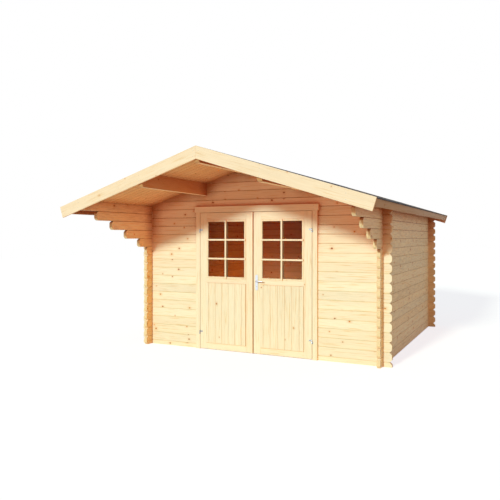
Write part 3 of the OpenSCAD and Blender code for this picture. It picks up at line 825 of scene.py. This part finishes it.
window_glass = glass_material()
panel_wood = {**joinery_wood, "knots": panel_knots}
panel_spruce = spruce_material("panel spruce", "Z", "X", "Y", first_board=400, stain_and_painted_light=panel_stain,
                               **panel_wood)
bead_spruce = spruce_material("bead spruce", "Z", "X", "Y", stain_and_painted_light=bead_stain, **joinery_wood)
for side, hand in hands:
    body = hand + "_door"
    for part, wood in (("stiles", upright_spruce), ("rails", level_spruce), ("beads", bead_spruce)):
        node = f"{hand}_door_{part}"
        place("planed_" + node, softened(node, wood, leaf_edge), body, "joinery_pine", node)
    dress(hand + "_door_glass", window_glass)

    low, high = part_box(hand + "_door_panel")
    cover = (high.x - low.x) / panel_covers
    first = low.x - (1 - panel_first) * cover
    profile = []
    for x, inward in ((first + board_gap / 2, 1), (first + cover - board_gap / 2, -1)):
        corner = [(x + inward * panel_bevel, low.y), (x, low.y + panel_bevel), (x, high.y - panel_bevel),
                  (x + inward * panel_bevel, high.y)]
        profile += corner if inward > 0 else reversed(corner)
    foot = low.z + panel_gap
    ends = ((foot, low.y + panel_end_bevel), (foot + panel_end_bevel, low.y), (high.z - panel_gap, low.y))
    board = drawn_out([[Vector((x, max(y, front), z)) for x, y in profile] for z, front in ends])
    boards = run_tree(row_of_boards, finish_mesh(board, "panel board", panel_spruce), hand + "_panel_boards",
                      Count=panel_boards, Step=(cover, 0.0, 0.0), Finish=panel_spruce,
                      **{"First board": first_panel_board + leaf_boards * side})
    rip(boards, low.x, high.x)
    place(hand + "_panel_boards", boards, body, "joinery_pine", hand + "_door_panel")

    bead_low, bead_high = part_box(hand + "_door_beads")
    pane_low, pane_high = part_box(hand + "_door_glass")
    light_x = (bead_low.x + bead_width, bead_high.x - bead_width)
    light_z = (bead_low.z + bead_width, bead_high.z - bead_width)
    middle_x = sum(light_x) / 2
    half = bar_width / 2
    pane_step = (light_z[1] - light_z[0] + bar_width) / pane_rows
    bar_zs = [light_z[0] - half + pane_step * i for i in range(1, pane_rows)]
    bars = bmesh.new()
    for glass_y, bead_y, out_y in ((pane_low.y, bead_low.y, bead_low.y - bar_proud),
                                   (pane_high.y, bead_high.y, bead_high.y + bar_proud)):
        fillet = sorted((glass_y, bead_y))
        cover_y = sorted((bead_y, out_y))
        planed_block(bars, (middle_x - half, fillet[0], light_z[0]),
                     (middle_x + half, fillet[1], light_z[1]), bar_fillet_ease)
        planed_block(bars, (middle_x - half, cover_y[0], light_z[0] - bar_past),
                     (middle_x + half, cover_y[1], light_z[1] + bar_past), bar_ease)
        for z in bar_zs:
            for x0, x1 in ((light_x[0], middle_x - half), (middle_x + half, light_x[1])):
                past = bar_past if x0 == light_x[0] else 0.0
                past_end = bar_past if x1 == light_x[1] else 0.0
                planed_block(bars, (x0, fillet[0], z - half), (x1, fillet[1], z + half), bar_fillet_ease)
                planed_block(bars, (x0 - past, cover_y[0], z - half), (x1 + past_end, cover_y[1], z + half),
                             bar_ease)
    number_boards(bars)
    crossed = finish_mesh(bars, hand + " glazing bars", upright_spruce)
    place(hand + "_glazing_bars", crossed, body, "joinery_pine")

strip = softened("cover_strip", upright_spruce, strip_edge, 3)
place("planed_cover_strip", strip, "left_door", "joinery_pine", "cover_strip")


# Hinges
# Lift-off hinges of galvanised steel: the flaps on the leaf turn on pins that stand on the casing.
# Their rims are rounded in the press, and four screws hold the flaps of each leaf.

hinge_grey = (196, 194, 196)
screw_radius = 0.0026
screw_height = 0.0009
screw_rise = 0.0125
screw_places = (0.008, 0.022)
flap_thick = 0.0025
hinge_rim = 0.0006

hinge_steel = steel_material("hinge steel", hinge_grey, 0.26, 0.42)
for node, body in (("hinge_pins", "cabin"), ("left_door_hinges", "left_door"),
                   ("right_door_hinges", "right_door")):
    place("pressed_" + node, softened(node, hinge_steel, hinge_rim, 1), body, "steel", node)
for side, hand in hands:
    low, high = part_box(hand + "_door_hinges")
    flap_edge = low.x if side > 0 else high.x
    flap_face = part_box(hand + "_door_stiles")[0].y - flap_thick
    spots = [Vector((flap_edge + side * along, flap_face, z))
             for z in (low.z + screw_rise, high.z - screw_rise) for along in screw_places]
    drive_nails(hand + "_hinge_screws", spots, (0.0, -1.0, 0.0), screw_radius, screw_height, 11,
                hand + "_door")


# Handle
# A satin lever turns in a long plate on each face of the right leaf, above the keyhole of its lock.
# The plates are held by a screw at each end and have rounded rims.

handle_white = (224, 224, 230)
neck_radius = 0.0086
grip_radius = 0.0078
tip_shrink = ((0.006, 0.94), (0.0025, 0.72), (0.0, 0.3))
lever_bend = 0.016
bend_steps = 6
tube_sides = 20
collar_radius = 0.0145
collar_height = 0.004
cylinder_radius = 0.0085
key_drop = 0.072
screw_inset = 0.016
plate_rim = 0.0016
neck_clear = 0.0006
collar_ease = 0.0012
cylinder_bore = 0.0004
cylinder_height = 0.003
cylinder_ease = 0.0008
key_dark = (46, 44, 44)
key_depths = (0.0025, 0.0033)
key_half = (0.0012, 0.005)
key_ease = 0.0002
sharp_from = math.radians(35.0)


def tube(path, radii):
    """Closed round bar along a path of points that lie in one level plane."""
    sections = []
    for i, point in enumerate(path):
        ahead = (path[min(i + 1, len(path) - 1)] - path[max(i - 1, 0)]).normalized()
        level = Vector((ahead.y, -ahead.x, 0.0))
        turns = [2 * math.pi * k / tube_sides for k in range(tube_sides)]
        sections.append([point + radii[i] * (math.cos(t) * level + Vector((0.0, 0.0, math.sin(t))))
                         for t in turns])
    return drawn_out(sections)


def turned_ring(shape, middle, facing, inner, outer, height, ease):
    """Adds a flat ring with an eased rim, turned about the door's thickness, to a shape."""
    profile = [(inner, 0.0), (outer, 0.0), (outer, height - ease), (outer - ease, height), (inner, height)]
    rings = []
    for k in range(tube_sides):
        turn = 2 * math.pi * k / tube_sides
        rings.append([shape.verts.new(middle + Vector((r * math.cos(turn), facing * h, r * math.sin(turn))))
                      for r, h in profile])
    for k, ring in enumerate(rings):
        after = rings[(k + 1) % tube_sides]
        for i in range(len(profile)):
            j = (i + 1) % len(profile)
            shape.faces.new((ring[i], ring[j], after[j], after[i]))


def shade_round(mesh):
    """Smooths a mesh's shading, except over its sharp edges."""
    mesh.shade_smooth()
    mesh.set_sharp_from_angle(angle=sharp_from)
    return mesh


handle_steel = steel_material("satin handle steel", handle_white, 0.3, 0.46)
key_shadow = steel_material("keyhole", key_dark, 0.5, 0.7)
plates = softened("handle_plates", handle_steel, plate_rim, 3)
place("rounded_handle_plates", plates, "right_door", "steel", "handle_plates")

lever_low, lever_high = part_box("lever_handle")
plate_low, plate_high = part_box("handle_plates")
plate_faces = (("outer", plate_low.y, -1.0), ("inner", plate_high.y, 1.0))
lever_x = (plate_low.x + plate_high.x) / 2
lever_z = (lever_low.z + lever_high.z) / 2
outer_y = lever_low.y + lever_high.z - lever_z
inner_y = lever_high.y - lever_high.z + lever_z
outer_run = []
radii = []
for short, share in reversed(tip_shrink):
    outer_run.append(Vector((lever_high.x - short, outer_y, lever_z)))
    radii.append(share * grip_radius)
for i in range(bend_steps + 1):
    turn = math.pi / 2 * i / bend_steps
    outer_run.append(Vector((lever_x + lever_bend * (1 - math.sin(turn)),
                             outer_y + lever_bend * (1 - math.cos(turn)), lever_z)))
    radii.append(grip_radius + (neck_radius - grip_radius) * i / bend_steps)
inner_run = [Vector((p.x, outer_y + inner_y - p.y, p.z)) for p in reversed(outer_run)]
lever = finish_mesh(tube(outer_run + inner_run, radii + radii[::-1]), "swept lever", handle_steel)
place("swept_lever", shade_round(lever), "door_handle", "steel", "lever_handle")

fittings = bmesh.new()
keyholes = bmesh.new()
for _, face_y, facing in plate_faces:
    turned_ring(fittings, Vector((lever_x, face_y, lever_z)), facing, neck_radius + neck_clear, collar_radius,
                collar_height, collar_ease)
    key_place = Vector((lever_x, face_y, lever_z - key_drop))
    turned_ring(fittings, key_place, facing, cylinder_bore, cylinder_radius, cylinder_height, cylinder_ease)
    slot_y = sorted(face_y + facing * depth for depth in key_depths)
    planed_block(keyholes, (lever_x - key_half[0], slot_y[0], key_place.z - key_half[1]),
                 (lever_x + key_half[0], slot_y[1], key_place.z + key_half[1]), key_ease)
collars = shade_round(finish_mesh(fittings, "lever collars", handle_steel))
place("lever_collars", collars, "right_door", "steel")
place("keyholes", finish_mesh(keyholes, "keyholes", key_shadow), "right_door", "steel")
for name, face_y, facing in plate_faces:
    spots = [Vector((lever_x, face_y, z)) for z in (plate_low.z + screw_inset, plate_high.z - screw_inset)]
    drive_nails(name + "_plate_screws", spots, (0.0, facing, 0.0), screw_radius, screw_height, 13,
                "right_door")


# Floor, light and camera
# A pale floor takes the shadow of a low sun, and white surroundings, brighter to the right, fill the shade.
# Two soft lamps inside give the panes their brown. The camera stands at eye height, level, on the right.

floor_size = 60.0
floor_white = (228, 218, 198)
floor_lift = (0.61, 0.71, 0.785, 1.0)
floor_glow = (0.16, 0.125, 0.095, 1.0)
fill_light = 0.305
fill_right = 0.45
fill_color = (1.0, 0.715, 0.6, 1.0)
sun_power = 2.05
sun_color = (0.89, 1.105, 1.125)
sun_course = (0.16, 1.5, -0.5)
sun_width = math.radians(6.5)
inside_lamps = {
    "glow of the walls inside": {"width": 1.6, "height": 0.5, "power": 6.3, "color": (1.0, 0.22, 0.025),
                                 "place": (0.1, 0.6, 0.22), "turn": 60.0, "spread": 106.0},
    "day on the back wall": {"width": 1.5, "height": 0.2, "power": 1.3, "color": (1.0, 0.75, 0.55),
                             "place": (-0.9, 1.75, 0.5), "turn": 0.0, "spread": 180.0},
}
eye = (3.3403, -7.9374, 1.5834)
eye_turn = math.radians(26.479)
lens_length = 40.349
lens_shift = -0.026


def plainly_seen(wires):
    """One for rays of the view, straight or by way of gloss and glass, that no dull surface has scattered."""
    rays = wires.node("ShaderNodeLightPath").outputs
    found = wires.math("LESS_THAN", rays["Diffuse Depth"], 0.5)
    either = 0.0
    for kind in ("Camera", "Glossy", "Transmission"):
        either = wires.math("MAXIMUM", either, rays[f"Is {kind} Ray"])
    return wires.math("MULTIPLY", found, either)


floor_shape = bmesh.new()
bmesh.ops.create_grid(floor_shape, x_segments=1, y_segments=1, size=floor_size / 2)
floor_paint, floor_wires, floor_shader = new_paint("pale floor")
floor_shader.inputs["Base Color"].default_value = linear(floor_white)
floor_shader.inputs["Roughness"].default_value = 1.0
floor_shader.inputs["Specular IOR Level"].default_value = 0.0
floor_seen = plainly_seen(floor_wires)
ground = floor_wires.node("ShaderNodeTexCoord").outputs["Object"]
shed_low = Vector((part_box("left_wall")[0].x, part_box("front_wall_left")[0].y, -1.0))
shed_high = Vector((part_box("right_wall")[1].x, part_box("back_wall")[1].y, 1.0))
from_middle = floor_wires.vector("SUBTRACT", ground, (shed_low + shed_high) / 2)
share_out = floor_wires.vector("DIVIDE", floor_wires.vector("ABSOLUTE", from_middle),
                               (shed_high - shed_low) / 2)
out_x, out_y, _ = floor_wires.node("ShaderNodeSeparateXYZ", {"Vector": share_out}).outputs
outdoors = floor_wires.math("GREATER_THAN", floor_wires.math("MAXIMUM", out_x, out_y), 1.0)
floor_wires.fill(floor_shader.inputs["Emission Strength"], outdoors)
ground_y = floor_wires.node("ShaderNodeSeparateXYZ", {"Vector": ground}).outputs["Y"]
in_front = floor_wires.math("LESS_THAN", ground_y, shed_low.y)
sunlit_glow = floor_wires.mix(in_front, (0.0, 0.0, 0.0, 1.0), floor_glow)
floor_wires.fill(floor_shader.inputs["Emission Color"], floor_wires.mix(floor_seen, sunlit_glow, floor_lift))
floor_paint.cycles.emission_sampling = "NONE"
floor = bpy.data.objects.new("floor", finish_mesh(floor_shape, "floor", floor_paint))
scene.collection.objects.link(floor)
floor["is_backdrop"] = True

world = bpy.data.worlds.new("white surroundings")
world.use_nodes = True
world_wires = Wiring(world.node_tree)
sky = world.node_tree.nodes["Background"]
plain_view = plainly_seen(world_wires)
world_wires.fill(sky.inputs["Color"], world_wires.mix(plain_view, fill_color, (1.0, 1.0, 1.0, 1.0)))
toward = world_wires.node("ShaderNodeTexCoord").outputs["Generated"]
to_right = world_wires.node("ShaderNodeSeparateXYZ", {"Vector": toward}).outputs["X"]
fill = world_wires.step(to_right, 0.0, 1.0, fill_light, fill_right, "LINEAR")
world_wires.fill(sky.inputs["Strength"], world_wires.step(plain_view, 0.0, 1.0, fill, 1.0, "LINEAR"))
scene.world = world

sun = bpy.data.lights.new("low sun", "SUN")
sun.energy = sun_power
sun.color = sun_color
sun.angle = sun_width
sun_lamp = bpy.data.objects.new("low sun", sun)
sun_lamp.rotation_mode = "QUATERNION"
sun_lamp.rotation_quaternion = Vector(sun_course).to_track_quat("-Z", "Y")
scene.collection.objects.link(sun_lamp)

unlit_inside = bpy.data.collections.new("floor the inside lamps leave dark")
unlit_inside.objects.link(floor)
unlit_inside.collection_objects[0].light_linking.link_state = "EXCLUDE"
for name, made in inside_lamps.items():
    glow = bpy.data.lights.new(name, "AREA")
    glow.shape = "RECTANGLE"
    glow.size = made["width"]
    glow.size_y = made["height"]
    glow.energy = made["power"]
    glow.color = made["color"]
    glow.spread = math.radians(made["spread"])
    glow_lamp = bpy.data.objects.new(name, glow)
    glow_lamp.location = made["place"]
    glow_lamp.rotation_euler = (math.pi / 2, 0.0, math.radians(made["turn"]))
    glow_lamp.light_linking.receiver_collection = unlit_inside
    glow_lamp.visible_camera = False
    glow_lamp.visible_glossy = False
    glow_lamp.visible_transmission = False
    scene.collection.objects.link(glow_lamp)

lens = bpy.data.cameras.new("camera")
lens.lens = lens_length
lens.shift_y = lens_shift
camera = bpy.data.objects.new("camera", lens)
camera.location = eye
camera.rotation_euler = (math.pi / 2, 0.0, eye_turn)
scene.collection.objects.link(camera)
scene.camera = camera
scene.view_settings.view_transform = "Standard"

low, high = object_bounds()
